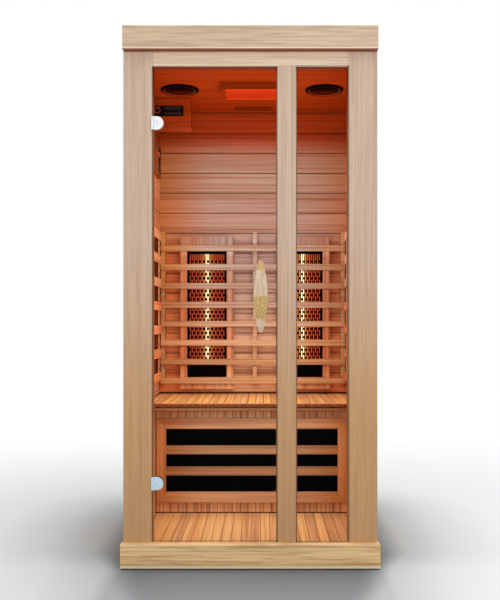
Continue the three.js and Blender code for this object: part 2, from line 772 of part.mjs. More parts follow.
// Control panel: a timber surround on the left wall, a dark panel and two push buttons
function controlPanel() {
  const left = -halfRoom;
  const y = [behind(controlFront), behind(controlFront + controlWidth)];
  const z = [controlBottom, controlBottom + controlHeight];
  const insideY = [y[0] + controlBorder, y[1] - controlBorder];
  const insideZ = [z[0] + controlBorder, z[1] - controlBorder];
  const surround = alongX(framed(eased(y, z), rectangle(insideY, insideZ)), [left, left + controlOut]);
  addTo(cabin, 'control_surround', surround, innerWood);
  const face = left + controlOut - controlRecess;
  const [panelY, panelZ] = [insideY, insideZ].map(([from, to]) => [from + fit, to - fit]);
  const panel = box([left, face], panelY, panelZ);
  const buttonZ = insideZ[0] + buttonHeight;
  const middle = (y[0] + y[1]) / 2;
  const buttonPlaces = { start: middle - buttonSpacing / 2, light: middle + buttonSpacing / 2 };
  const seat = face + buttonProud - buttonLength - fit - buttonTravel;
  const wells = Object.values(buttonPlaces).map((place) => (
    cylinderX(buttonRadius + fit, [seat, face + sink], place, buttonZ)
  ));
  addTo(cabin, 'control_panel', cut(panel, ...wells), blackPlastic);
  for (const [use, place] of Object.entries(buttonPlaces)) {
    const reach = [face + buttonProud - buttonLength, face + buttonProud];
    addTo(cabin, `${use}_button`, cylinderX(buttonRadius, reach, place, buttonZ), blackPlastic);
  }
}

plinth();
floorDeck();
walls();
roof();
frontFrame();
doorGlass();
hinge('upper', hingeUpper);
hinge('lower', hingeLower);
handle('handle_outer', glassFront, -1);
handle('handle_inner', glassBack, 1);
bench();
calfHeater();
backrest();
tubeHeater('left', heaterFromWall - halfRoom + heaterShift);
tubeHeater('right', halfRoom - heaterFromWall + heaterShift);
sideGuard('left', -1);
sideGuard('right', 1);
speaker('left', speakerFromWall - halfRoom);
speaker('right', halfRoom - speakerFromWall);
ceilingLight();
ceilingVent();
musicPlayer();
controlPanel();

export default cabin;
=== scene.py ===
import math
import bpy
import bmesh
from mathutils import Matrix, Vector


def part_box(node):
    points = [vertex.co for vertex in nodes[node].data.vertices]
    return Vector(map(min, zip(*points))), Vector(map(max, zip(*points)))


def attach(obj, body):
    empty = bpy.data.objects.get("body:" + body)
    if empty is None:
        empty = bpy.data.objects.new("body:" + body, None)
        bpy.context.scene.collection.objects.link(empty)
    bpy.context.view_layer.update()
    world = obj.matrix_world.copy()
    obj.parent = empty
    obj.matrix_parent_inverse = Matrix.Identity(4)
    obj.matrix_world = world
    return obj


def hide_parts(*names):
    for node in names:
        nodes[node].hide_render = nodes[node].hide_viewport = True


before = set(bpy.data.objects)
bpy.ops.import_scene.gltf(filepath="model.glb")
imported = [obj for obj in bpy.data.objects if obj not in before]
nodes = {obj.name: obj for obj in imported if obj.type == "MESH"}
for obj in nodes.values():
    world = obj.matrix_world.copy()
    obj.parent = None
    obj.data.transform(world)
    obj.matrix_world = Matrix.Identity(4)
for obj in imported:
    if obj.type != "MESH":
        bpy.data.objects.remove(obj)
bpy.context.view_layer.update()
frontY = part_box("stile_left")[0].y  # front face of the timber frame
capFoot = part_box("cap_front")[0].z
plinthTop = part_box("plinth_front")[1].z
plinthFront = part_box("plinth_front")[0].y
print("frame loaded:", len(nodes), "nodes")


def shade(r, g, b):
    # a colour as seen on screen, 0 to 255, as linear light
    return tuple(((c / 255 + 0.055) / 1.055) ** 2.4 if c > 10 else c / 3294.6 for c in (r, g, b)) + (1.0,)


class Value:
    # a shader socket that takes part in sums
    def __init__(self, graph, socket):
        self.graph = graph
        self.socket = socket

    def math(self, operation, other=0.0, turned=False):
        first, second = (other, self) if turned else (self, other)
        return self.graph.add("ShaderNodeMath", {"operation": operation}, {0: first, 1: second})

    def __add__(self, other): return self.math("ADD", other)
    def __radd__(self, other): return self.math("ADD", other)
    def __sub__(self, other): return self.math("SUBTRACT", other)
    def __rsub__(self, other): return self.math("SUBTRACT", other, True)
    def __mul__(self, other): return self.math("MULTIPLY", other)
    def __rmul__(self, other): return self.math("MULTIPLY", other)
    def __truediv__(self, other): return self.math("DIVIDE", other)
    def __abs__(self): return self.math("ABSOLUTE")
    def over(self, level): return self.math("GREATER_THAN", level)
    def under(self, level): return self.math("LESS_THAN", level)
    def least(self, other): return self.math("MINIMUM", other)
    def most(self, other): return self.math("MAXIMUM", other)
    def floor(self): return self.math("FLOOR")

    def between(self, low, high, outLow=0.0, outHigh=1.0):
        values = {"Value": self, "From Min": low, "From Max": high, "To Min": outLow, "To Max": outHigh}
        return self.graph.add("ShaderNodeMapRange", {"interpolation_type": "SMOOTHSTEP"}, values)


class Graph:
    # one material's node tree
    def __init__(self, name):
        self.material = bpy.data.materials.new(name)
        self.material.use_nodes = True
        self.tree = self.material.node_tree
        self.tree.nodes.clear()
        self.place = self.add("ShaderNodeTexCoord", out="Object")
        split = self.add("ShaderNodeSeparateXYZ", None, {0: self.place})
        self.x, self.y, self.z = (Value(self, socket) for socket in split.socket.node.outputs)

    def add(self, kind, settings=None, values=None, out=0):
        node = self.tree.nodes.new(kind)
        for key, setting in (settings or {}).items():
            if key == "stops":
                ramp = node.color_ramp.elements
                for i, (at, colour) in enumerate(setting):
                    stop = ramp[i] if i < 2 else ramp.new(at)
                    stop.position = at
                    stop.color = colour
            else:
                setattr(node, key, setting)
        for key, value in (values or {}).items():
            self.feed(node.inputs[key], value)
        return Value(self, node.outputs[out])

    def feed(self, socket, value):
        if isinstance(value, Value):
            self.tree.links.new(value.socket, socket)
        else:
            socket.default_value = value

    def mix(self, factor, first, second, blend="MIX"):
        settings = {"data_type": "RGBA", "blend_type": blend}
        return self.add("ShaderNodeMix", settings, {0: factor, 6: first, 7: second}, 2)

    def noise(self, scale, detail=3.0, distortion=0.0, place=None, size=1.0):
        moved = self.add("ShaderNodeMapping", None, {"Vector": place or self.place, "Scale": scale})
        values = {"Vector": moved, "Scale": size, "Detail": detail, "Distortion": distortion}
        return self.add("ShaderNodeTexNoise", None, values)

    def bump(self, height, strength, distance):
        values = {"Strength": strength, "Distance": distance, "Height": height}
        return self.add("ShaderNodeBump", None, values)

    def finish(self, **values):
        named = {key.replace("_", " "): value for key, value in values.items()}
        surface = self.add("ShaderNodeBsdfPrincipled", None, named)
        return self.show(surface)

    def show(self, surface):
        output = self.tree.nodes.new("ShaderNodeOutputMaterial")
        self.feed(output.inputs[0], surface)
        return self.material


# Timber
timber = {
    "outerHigh": shade(209, 182, 163), "outerLow": shade(198, 154, 106), "outerLine": shade(172, 136, 104),
    "innerHigh": shade(194, 168, 153), "innerLow": shade(224, 170, 122), "innerSideLight": shade(208, 134, 78),
    "innerLine": shade(158, 92, 58), "seam": shade(58, 26, 14), "warmSeam": shade(128, 58, 24),
    "redLightPale": shade(163, 61, 12), "redLightLine": shade(112, 33, 4), "redFrom": 1.56, "redTo": 1.72,
    "highFrom": 0.45, "highTo": 1.25, "midFrom": 0.6, "midTo": 1.15,
    "streak": (5.0, 130.0), "streakPale": (1.16, 1.18, 1.06, 1), "streakDark": (0.76, 0.7, 0.7, 1),
    "fibre": 120.0, "run": 1.5, "boardShade": 0.07, "seamHalf": 0.0016,
}
grains = {"x": (timber["run"], timber["fibre"], timber["fibre"]),
          "y": (timber["fibre"], timber["run"], timber["fibre"]),
          "z": (timber["fibre"], timber["fibre"], timber["run"])}


def boardIndex(graph, boards):
    # number of the board that a point is on, from (axis, pitch, edge)
    axis, pitch, start = boards
    return ((getattr(graph, axis) - start) / pitch).floor()


def grainOf(graph, axis, boards=None, fine=1.0):
    # growth lines, pores and a tone for each board
    place = graph.place
    tone = None
    if boards:
        index = boardIndex(graph, boards)
        tone = graph.add("ShaderNodeTexWhiteNoise", {"noise_dimensions": "1D"}, {"W": index})
        shift = graph.add("ShaderNodeCombineXYZ", None, {0: index * 3.17, 1: index * 1.73, 2: index * 2.39})
        place = graph.add("ShaderNodeVectorMath", {"operation": "ADD"}, {0: place, 1: shift})
    scale = tuple(v * (fine if v > 10 else 1) for v in grains[axis])
    lines = graph.noise(scale, 4.0, 0.25, place)
    wide = graph.noise(tuple(v * 0.25 for v in scale), 2.0, 0.5, place)
    pores = graph.noise(tuple(v * 4 for v in scale), 2.0, 0.0, place)
    return lines, wide, pores, tone


def seamed(graph, colour, boards, half=None, depth=0.85, shadow=timber["seam"]):
    # dark shadow line along each board joint
    axis, pitch, start = boards
    off = ((getattr(graph, axis) - start) / pitch).math("FRACT")
    near = off.least(1 - off) * pitch
    return graph.mix(near.under(half or timber["seamHalf"]) * depth, colour, shadow)


def outerColours(graph, lines, wide, axis="z", figure=0.3):
    # paler and cooler higher up: partly painted light from above, partly the timber's own tone
    height = graph.z.between(timber["highFrom"], timber["highTo"])
    pale = graph.mix(height, timber["outerLow"], timber["outerHigh"])
    growth = lines.between(0.35, 0.75) * 0.44 + wide.between(0.4, 0.7) * 0.14
    colour = graph.mix(growth, pale, timber["outerLine"])
    # short streaks, golden and rosy
    streaks = graph.noise(tuple(timber["streak"][v > 10] for v in grains[axis]), 3.0, 1.2)
    golden = graph.mix(1.0, colour, timber["streakPale"], "MULTIPLY")
    rosy = graph.mix(1.0, colour, timber["streakDark"], "MULTIPLY")
    colour = graph.mix(streaks.between(0.52, 0.36) * figure, colour, golden)
    return graph.mix(streaks.between(0.5, 0.66) * figure, colour, rosy)


def innerColours(graph, lines, wide):
    # painted red light near the ceiling, from the red lamp
    red = graph.z.between(timber["redFrom"], timber["redTo"])
    streak = lines.between(0.35, 0.72) * 0.58 + wide.between(0.4, 0.7) * 0.3
    # painted light by height: golden tan low down, pinkish pale higher up
    level = graph.z.between(timber["midFrom"], timber["midTo"])
    pale = graph.mix(level, timber["innerLow"], timber["innerHigh"])
    # painted warm light towards the side walls, stronger higher up and on the left
    warmSideLight = (abs(graph.x) - graph.x.most(0.0) * 0.2).between(0.16, 0.42)
    pale = graph.mix(warmSideLight * (level * 0.6 + 0.4), pale, timber["innerSideLight"])
    plain = graph.mix(streak, pale, timber["innerLine"])
    ruddy = graph.mix(streak, timber["redLightPale"], timber["redLightLine"])
    return graph.mix(red, plain, ruddy)


def toned(graph, colour, tone):
    if tone is None:
        return colour
    value = tone * (2 * timber["boardShade"]) + (1 - timber["boardShade"])
    return graph.add("ShaderNodeHueSaturation", None, {"Color": colour, "Value": value})


def woodFinish(graph, colour, lines, pores, gloss=0.3):
    rough = lines * 0.2 + 0.42
    normal = graph.bump(lines * 0.7 + pores * 0.3, 0.25, 0.0006)
    return graph.finish(Base_Color=colour, Roughness=rough, Normal=normal, Specular_IOR_Level=gloss)


asIs = (1.0, 1.0, 1.0)  # tint that changes nothing


def lifted(graph, colour, share, low, high):
    # multiplies a colour by a tint that goes from low to high
    tint = graph.mix(share, low + (1,), high + (1,))
    return graph.mix(1.0, colour, tint, "MULTIPLY")


front = {
    "roomFrom": 0.012, "roomTo": 0.05, "roomHalf": 0.43,  # timber behind the glass, from the front face
    "edge": shade(240, 224, 200), "edgeHalf": 0.0022, "edgeInset": 0.005,
    "reveal": 0.0024, "revealFrom": 0.006, "revealTo": 0.018,
    "revealShadeFront": (0.34, 0.24, 0.18), "revealShadeBack": (0.7, 0.6, 0.5),
    "joint": shade(150, 92, 58), "jointHalf": 0.0013,
    "capHighlight": shade(252, 236, 220), "capShadowLine": shade(124, 58, 24), "capHalf": 0.0022, "capInset": 0.0055,
}


def outerTimber(name, axis, boards=None, lift=None, edges=(), edgeAxis="x", reveals=(), figure=0.3):
    graph = Graph(name)
    lines, wide, pores, tone = grainOf(graph, axis, boards, 1.5)
    colour = toned(graph, outerColours(graph, lines, wide, axis, figure), tone)
    along = getattr(graph, edgeAxis)
    # what stands behind the glass takes the inner timber colours, with their painted warm room light
    behind = graph.y.over(frontY + front["roomFrom"]) * graph.y.under(frontY + front["roomTo"])
    inside = behind * abs(graph.x).under(front["roomHalf"]) * graph.z.under(capFoot)
    warm = innerColours(graph, lines, wide)
    colour = graph.mix(inside, colour, warm)
    # painted shade on the sides of the openings, darkest along the front edge
    depth = graph.y.between(frontY + front["revealFrom"], frontY + front["revealTo"])
    shaded = lifted(graph, warm, depth, front["revealShadeFront"], front["revealShadeBack"])
    for place in reveals:
        colour = graph.mix(abs(along - place).under(front["reveal"]), colour, shaded)
    # painted highlight on the eased edges, stronger higher up
    shine = graph.z.between(0.3, 1.3, 0.1, 0.55)
    for place in edges:
        colour = graph.mix(abs(along - place).under(front["edgeHalf"]) * shine, colour, front["edge"])
    # butt joints of the head rail, painted highlight along the lower edge of the cap and painted shadow line
    # under it
    joint = abs(abs(graph.x) - openHalf).under(front["jointHalf"])
    joint = joint * graph.z.over(headFoot) * graph.z.under(capFoot) * 0.5
    colour = graph.mix(joint, colour, front["joint"])
    highlight = abs(graph.z - capFoot - front["capInset"]).under(front["capHalf"]) * 0.5
    colour = graph.mix(highlight, colour, front["capHighlight"])
    colour = graph.mix(abs(graph.z - capFoot).under(front["capHalf"]) * 0.85, colour, front["capShadowLine"])
    if lift:
        colour = graph.mix(1.0, colour, lift + (1,), "MULTIPLY")
    return woodFinish(graph, colour, lines, pores)


inner = {"golden": shade(232, 176, 100), "endGrain": shade(142, 84, 56), "endDepth": 0.0008,
         "sideFrom": 0.2, "sideTo": 0.36}


def innerTimber(name, axis, boards=None, lift=None, seam=None, endGrain=None, foot=None, golden=0.0,
                upper=None, rise=(0.95, 1.25), sides=None):
    graph = Graph(name)
    lines, wide, pores, tone = grainOf(graph, axis, boards)
    colour = toned(graph, innerColours(graph, lines, wide), tone)
    if golden:
        colour = graph.mix(tone.between(0.2, 0.9) * golden, colour, inner["golden"])
    # tint by height from lift to upper: painted light where upper is given
    if lift:
        colour = lifted(graph, colour, graph.z.between(*rise), lift, upper or lift)
    # painted warm light towards the side walls
    if sides:
        colour = lifted(graph, colour, abs(graph.x).between(inner["sideFrom"], inner["sideTo"]), asIs, sides)
    if seam:
        colour = seamed(graph, colour, boards, seam, 0.6, timber["warmSeam"] if golden else timber["seam"])
    if endGrain:
        colour = graph.mix(graph.y.under(endGrain + inner["endDepth"]), colour, inner["endGrain"])
    # painted shade along the foot of the riser
    if foot:
        colour = graph.mix(graph.z.under(foot) * 0.9, colour, timber["seam"])
    return woodFinish(graph, colour, lines, pores, 0.06)


wall = {"cornerFrom": 0.15, "cornerTo": 0.36, "cornerTop": (1.26, 1.16),
        "bandFoot": (1.36, 1.48), "bandTop": (1.68, 1.58), "jointHalf": 0.004}


def wallTimber(name, axis, across, middle, lift, bandLightTint, corner=asIs, rise=(1.08, 1.3)):
    # warm boards inside the room, pale boards outside; inside, painted light: lighter low down, a tinted band
    # high up and warmer towards the corners
    graph = Graph(name)
    lines, wide, pores, tone = grainOf(graph, axis, wallBoards)
    outside = abs(getattr(graph, across)).over(middle).most(graph.y.over(backMiddle))
    warm = lifted(graph, innerColours(graph, lines, wide), graph.z.between(*rise), lift, asIs)
    warmSideLight = abs(graph.x).between(wall["cornerFrom"], wall["cornerTo"])
    warmSideLight = warmSideLight * graph.z.between(*wall["cornerTop"]) * graph.z.over(benchHigh.z)
    warm = lifted(graph, warm, warmSideLight, asIs, corner)
    high = graph.z.between(*wall["bandFoot"]) * graph.z.between(*wall["bandTop"])
    warm = lifted(graph, warm, high, asIs, bandLightTint)
    colour = graph.mix(outside, warm, outerColours(graph, lines, wide, axis))
    colour = seamed(graph, toned(graph, colour, tone), wallBoards)
    joint = abs(graph.z - benchHigh.z - wall["jointHalf"]).under(wall["jointHalf"]) * (1 - outside)
    return woodFinish(graph, graph.mix(joint * 0.85, colour, timber["seam"]), lines, pores, 0.15)


plinth = {"pale": shade(250, 214, 158), "dark": shade(186, 140, 92),
          "rim": shade(255, 236, 206), "rimTop": 0.0095}


def plinthTimber(name, axis):
    # the foot of the cabin is a shade paler than the uprights
    graph = Graph(name)
    lines, wide, pores, _ = grainOf(graph, axis, None, 1.5)
    short = graph.noise(tuple(timber["streak"][v > 10] for v in grains[axis]), 3.0, 1.2)
    streak = lines.between(0.35, 0.7) * 0.4 + wide.between(0.4, 0.7) * 0.2 + short.between(0.42, 0.66) * 0.45
    colour = graph.mix(streak, plinth["pale"], plinth["dark"])
    # painted highlight along the bottom edge
    rim = graph.z.under(plinth["rimTop"]) * 0.8
    return woodFinish(graph, graph.mix(rim, colour, plinth["rim"]), lines, pores)


handle = {"pale": (shade(216, 192, 166), shade(182, 152, 124)),
          "gold": (shade(214, 184, 124), shade(178, 138, 80)),
          "rim": shade(206, 172, 112), "figure": (420.0, 420.0, 120.0)}


def handleTimber(name):
    # varnished grip: painted reflections of light as pale bands between golden ones, with a darker outline
    low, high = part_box("handle_outer")
    middle = (low.z + high.z) / 2
    half = (high.z - low.z) / 2
    graph = Graph(name)
    lines, _, pores, _ = grainOf(graph, "z", None, 1.6)
    figure = graph.noise(handle["figure"], 4.0, 0.6)
    pale = graph.mix(lines.between(0.4, 0.7) * 0.75, *handle["pale"])
    gold = graph.mix(figure.between(0.35, 0.65), *handle["gold"])
    along = (graph.z - middle) / half
    golden = along.between(0.03, -0.03) * along.between(-0.68, -0.58)
    golden = golden.most(along.between(0.68, 0.78))
    across = abs(graph.x - (low.x + high.x) / 2) / ((high.x - low.x) / 2)
    rim = (across * across + along * along * 0.86).between(0.8, 0.95)
    colour = graph.mix(golden, pale, gold)
    return woodFinish(graph, graph.mix(rim * 0.6, colour, handle["rim"]), lines, pores)


heaterFrame = {"fadeFoot": 0.06, "fadeHead": 0.03, "lit": (0.84, 0.62, 0.5), "inward": (1.0, 1.24, 1.4),
               "lower": (1.0, 0.86, 0.82), "upper": (1.3, 1.3, 1.34), "head": (0.86, 0.94, 0.96)}


def frameTimber(name):
    # painted glow: ruddy beside the lit slots, plain above and below them; painted light also tints it paler
    # towards the middle, in a band high up and above the slots
    low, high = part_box("heater_grille_left")
    graph = Graph(name)
    lines, wide, pores, _ = grainOf(graph, "z")
    lit = graph.z.between(low.z, low.z + heaterFrame["fadeFoot"])
    lit = lit * graph.z.between(high.z, high.z - heaterFrame["fadeHead"])
    colour = lifted(graph, innerColours(graph, lines, wide), lit, asIs, heaterFrame["lit"])
    colour = lifted(graph, colour, abs(graph.x).between(0.24, 0.14), asIs, heaterFrame["inward"])
    upper = graph.z.between(0.95, 1.08) * graph.z.between(1.2, 1.17)
    colour = lifted(graph, colour, upper, heaterFrame["lower"], heaterFrame["upper"])
    colour = lifted(graph, colour, graph.z.over(high.z), asIs, heaterFrame["head"])
    return woodFinish(graph, colour, lines, pores, 0.06)


lightBox = {"tint": (0.8, 0.74, 0.6, 1), "glow": shade(192, 46, 4), "skin": 0.0006}


def lightBoxTimber(name):
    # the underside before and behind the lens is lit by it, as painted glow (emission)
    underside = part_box("light_box")[0].z
    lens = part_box("light_diffuser")[1].x
    graph = Graph(name)
    lines, wide, _, _ = grainOf(graph, "x")
    colour = graph.mix(1.0, innerColours(graph, lines, wide), lightBox["tint"], "MULTIPLY")
    lit = abs(graph.x).under(lens) * graph.z.under(underside + lightBox["skin"])
    glow = graph.mix(lit, (0, 0, 0, 1), lightBox["glow"])
    return graph.finish(Base_Color=colour, Roughness=lines * 0.2 + 0.42, Specular_IOR_Level=0.05,
                        Emission_Strength=1.0, Emission_Color=glow)


calf = {"stile": 0.0362, "rail": 0.0422, "corner": 0.04, "mitre": 0.0007, "line": (0.05, 0.02, 0.01, 1),
        "frameTint": (0.76, 0.76, 0.76), "slatTint": (0.47, 0.46, 0.42), "sides": (0.94, 0.74, 0.5)}


def mitredTimber(name, node):
    # rails grained along x and stiles along z, meeting in mitres
    low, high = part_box(node)
    graph = Graph(name)
    side = (high.x - low.x) / 2 - abs(graph.x - (low.x + high.x) / 2)
    end = (high.z - low.z) / 2 - abs(graph.z - (low.z + high.z) / 2)
    upright = side.under(end) * side.under(calf["stile"])
    railLines, railWide, pores, _ = grainOf(graph, "x")
    postLines, postWide, _, _ = grainOf(graph, "z")
    rail = innerColours(graph, railLines, railWide)
    post = innerColours(graph, postLines, postWide)
    seam = abs(side - end).under(calf["mitre"]) * side.under(calf["corner"])
    colour = graph.mix(seam * 0.6, graph.mix(upright, rail, post), calf["line"])
    slat = side.over(calf["stile"]) * end.over(calf["rail"])
    colour = lifted(graph, colour, slat, calf["frameTint"], calf["slatTint"])
    # painted warm light towards the sides
    colour = lifted(graph, colour, abs(graph.x).between(0.2, 0.37), asIs, calf["sides"])
    return woodFinish(graph, colour, railLines, pores)


boarding = {"pitch": 0.091, "deckBoards": 24, "roofPitch": 0.12, "wallTop": 0.094, "riserShade": 0.005}
bench = {"slats": 27, "screw": 0.0025, "screwHeight": 0.0005, "screwInset": 0.045, "screwMargin": 0.06,
         "tongue": 0.0039, "tongueHeight": 0.004, "tongueBelow": 0.002, "tongueShort": 0.001}
rest = {"slats": 8, "pitch": 0.085, "foot": 0.5565, "firstScrew": 0.599, "screw": 0.003, "screwHeight": 0.0006,
        "inset": 0.009, "middle": 0.009}
guard = {"slats": 7, "pitch": 0.104, "foot": 0.568, "firstScrew": 0.620, "screw": 0.0035, "screwHeight": 0.0006,
         "inset": 0.01}

floorLow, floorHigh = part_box("floor_deck")
benchLow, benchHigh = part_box("bench_top")
benchPitch = (benchHigh.x - benchLow.x) / bench["slats"]
wallLow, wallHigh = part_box("wall_back")
wallBoards = ("z", boarding["pitch"], wallHigh.z - boarding["wallTop"])
ceilingBoards = ("y", boarding["pitch"], wallLow.y)
floorBoards = ("x", (floorHigh.x - floorLow.x) / boarding["deckBoards"], floorLow.x)
benchBoards = ("x", benchPitch, benchLow.x)
restBoards = ("z", rest["pitch"], rest["foot"])
guardBoards = ("z", guard["pitch"], guard["foot"])
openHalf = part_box("stile_right")[0].x
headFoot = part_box("header_rail")[0].z
mullionLow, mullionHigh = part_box("mullion")
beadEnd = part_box("glazing_bead")[1].x
frameEdges = [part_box("stile_left")[1].x - front["edgeInset"], openHalf + front["edgeInset"],
              mullionLow.x + front["edgeInset"], beadEnd - front["edgeInset"], mullionHigh.x]
headEdges = [headFoot + front["edgeInset"]]
frameReveals = [-openHalf, openHalf, mullionLow.x, beadEnd]
backMiddle = (wallLow.y + wallHigh.y) / 2
wallMiddle = (abs(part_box("wall_left")[0].x) + abs(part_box("wall_left")[1].x)) / 2

woods = [
    (outerTimber("stileTimber", "z", edges=frameEdges, reveals=frameReveals), ["stile_left", "stile_right"]),
    (outerTimber("mullionTimber", "z", edges=frameEdges, reveals=frameReveals), ["mullion", "glazing_bead"]),
    (handleTimber("handleTimber"), ["handle_outer", "handle_inner"]),
    (outerTimber("railTimber", "x", lift=(0.99, 1.0, 0.93), figure=0.6), ["cap_front", "cap_rear"]),
    # head rail lifted paler: painted light against the shadow of the cap above it
    (outerTimber("headTimber", "x", lift=(1.27, 1.32, 1.3), edges=headEdges, edgeAxis="z", reveals=[headFoot],
                 figure=0.5), ["header_rail"]),
    (outerTimber("sideTimber", "y"), ["cap_left", "cap_right"]),
    (plinthTimber("footRail", "x"), ["plinth_front", "plinth_rear"]),
    (plinthTimber("footSide", "y"), ["plinth_left", "plinth_right"]),
    (outerTimber("roofTimber", "x", boards=("y", boarding["roofPitch"], 0.0)), ["roof_cover"]),
    (wallTimber("sideWall", "y", "x", wallMiddle, lift=(1.3, 1.5, 1.8), bandLightTint=(1.14, 1.24, 1.5),
                rise=(1.5, 1.66)), ["wall_left", "wall_right"]),
    (wallTimber("backWall", "x", "y", backMiddle, lift=(1.18, 1.26, 1.36), bandLightTint=(0.8, 0.87, 0.92),
                corner=(1.1, 0.64, 0.4)), ["wall_back"]),
    (innerTimber("ceilingTimber", "x", ceilingBoards, seam=0.0012), ["ceiling"]),
    (innerTimber("floorTimber", "y", floorBoards, (0.93, 1.01, 0.95), seam=0.0011, golden=0.3), ["floor_deck"]),
    (innerTimber("benchTimber", "y", benchBoards, (1.08, 1.14, 1.0), endGrain=benchLow.y, golden=0.4),
     ["bench_top"]),
    (innerTimber("riserTimber", "z", benchBoards, (1.05, 1.08, 1.1), seam=0.0012,
                 foot=plinthTop + boarding["riserShade"]), ["bench_riser"]),
    # backrest slats: painted light, darker low down, lighter high up and warmer at the sides
    (innerTimber("slatTimber", "x", restBoards, (0.81, 0.88, 0.9), upper=(1.08, 1.36, 1.36),
                 sides=(0.98, 0.9, 0.76)), ["backrest"]),
    (innerTimber("benchRail", "x", lift=(0.6, 0.55, 0.55)), ["bench_front_rail"]),
    # side guards: painted light, lighter throughout and much lighter and cooler high up
    (innerTimber("guardTimber", "y", guardBoards, (1.45, 1.18, 1.02), upper=(1.6, 2.1, 2.7), rise=(0.94, 1.04)),
     ["side_guard_left", "side_guard_right"]),
    (frameTimber("frameTimber"), ["heater_frame_left", "heater_frame_right"]),
    (innerTimber("boxTimber", "x"), ["player_housing", "ceiling_vent"]),
    (lightBoxTimber("lightBoxTimber"), ["light_box"]),
    (innerTimber("surroundTimber", "z", lift=(0.42, 0.34, 0.34)), ["control_surround"]),
    (mitredTimber("calfTimber", "calf_guard"), ["calf_guard"]),
]
# darker, warmer copy of the inner timber: painted shade in the gaps between bench slats
shadedGap = innerTimber("shadedGap", "y", lift=(0.7, 0.5, 0.34))


# Metal, plastic and glass
def darkFinish(name, colour, rough, grainSize=900.0, metallic=0.0, depth=0.0002, gloss=0.3):
    graph = Graph(name)
    speck = graph.noise((grainSize,) * 3, 2.0)
    worn = graph.noise((14.0,) * 3, 3.0)
    tint = graph.mix(worn * 0.5, colour, tuple(min(1.0, c * 1.8) for c in colour[:3]) + (1,))
    normal = graph.bump(speck, 0.2, depth)
    return graph.finish(Base_Color=tint, Roughness=worn * 0.16 + rough, Normal=normal, Metallic=metallic,
                        Specular_IOR_Level=gloss)


def chromeFinish():
    graph = Graph("chrome")
    smear = graph.noise((60.0, 60.0, 8.0), 3.0)
    colour = graph.mix(smear, shade(252, 254, 255), shade(232, 238, 242))
    # painted reflection: bluish lower down
    colour = graph.mix(graph.z.between(1.2, 0.5), colour, shade(206, 226, 240))
    return graph.finish(Base_Color=colour, Metallic=1.0, Roughness=smear * 0.12 + 0.1)


glass = {"rim": 0.0006, "rimColour": (0.03, 0.075, 0.055, 1), "rimSeen": 0.4,
         "square": (0.014, 0.018, 0.016, 1), "aslant": (0.9, 0.93, 0.92, 1)}


def glassFinish(name, node):
    # clear seen square on, mirror-like at a slant, green along its edges
    low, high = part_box(node)
    graph = Graph(name)
    slant = graph.add("ShaderNodeLayerWeight", None, {"Blend": 0.5}, "Facing")
    haze = graph.noise((1.4, 1.4, 0.9), 2.0)
    side = (high.x - low.x) / 2 - abs(graph.x - (low.x + high.x) / 2)
    end = (high.z - low.z) / 2 - abs(graph.z - (low.z + high.z) / 2)
    rim = side.least(end).under(glass["rim"])
    mirror = graph.mix(slant.between(0.06, 0.4), glass["square"], glass["aslant"])
    colour = graph.mix(rim, mirror, glass["rimColour"])
    shine = slant.math("POWER", 5.0) * 0.9 + slant.between(0.06, 0.35) * 0.06 + 0.02
    seen = (shine * (1 - rim)).most(rim * glass["rimSeen"])
    return graph.finish(Base_Color=colour, Metallic=1 - rim, Roughness=haze * 0.02 + 0.02, Alpha=seen)


def carbonFinish(name, dark, light):
    # flat heater: dark film with faint conductor stripes
    graph = Graph(name)
    weave = graph.noise((240.0, 240.0, 240.0), 2.0)
    stripe = graph.noise((4.0, 4.0, 120.0), 1.0)
    colour = graph.mix(stripe.between(0.45, 0.6), dark, light)
    return graph.finish(Base_Color=colour, Specular_IOR_Level=0.02, Roughness=weave * 0.2 + 0.45,
                        Normal=graph.bump(weave, 0.2, 0.0002))


def speakerFinish(node):
    # black bezel with a painted highlight ring round a dished cone, ruddy where lit and painted dark in shade
    # at the front
    low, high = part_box(node)
    graph = Graph("coneOf" + node.split("_")[1].capitalize())
    dx = (graph.x - (low.x + high.x) / 2) / ((high.x - low.x) / 2)
    dy = (graph.y - (low.y + high.y) / 2) / ((high.y - low.y) / 2)
    radius = (dx * dx + dy * dy).math("SQRT")
    rings = (radius * 90).math("SINE")
    cone = radius.under(0.72)
    # painted highlight ring between bezel and cone
    lipHighlight = radius.over(0.79) * radius.under(0.85)
    dish = graph.mix(rings.between(-1, 1), shade(80, 14, 5), shade(54, 8, 3))
    # painted shade: the front part of the cone near black
    dish = graph.mix(dy.between(-0.25, 0.45), shade(14, 3, 2), dish)
    colour = graph.mix(lipHighlight, graph.mix(cone, (0.001, 0.0008, 0.0008, 1), dish), shade(132, 58, 26))
    normal = graph.bump(rings * cone, 0.3, 0.0006)
    return graph.finish(Base_Color=colour, Roughness=cone * 0.3 + 0.5, Normal=normal, Specular_IOR_Level=0.02)


def glowFinish(name, stops, strength, axisNode):
    # painted glow: emission on a face, brightest along its middle
    low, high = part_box(axisNode)
    graph = Graph(name)
    off = abs(graph.x - (low.x + high.x) / 2) / ((high.x - low.x) / 2)
    colour = graph.add("ShaderNodeValToRGB", {"stops": stops}, {0: off})
    return graph.finish(Base_Color=(0.02, 0.01, 0.01, 1), Roughness=0.5, Emission_Color=colour,
                        Emission_Strength=strength)


def lampFinish(name, colour, edgeColour, strength, spread):
    graph = Graph(name)
    cloud = graph.noise((spread,) * 3, 2.0)
    lit = graph.mix(cloud.between(0.3, 0.7), colour, edgeColour)
    return graph.finish(Base_Color=(0.01, 0.003, 0.002, 1), Roughness=0.4, Specular_IOR_Level=0.1,
                        Emission_Color=lit, Emission_Strength=strength)


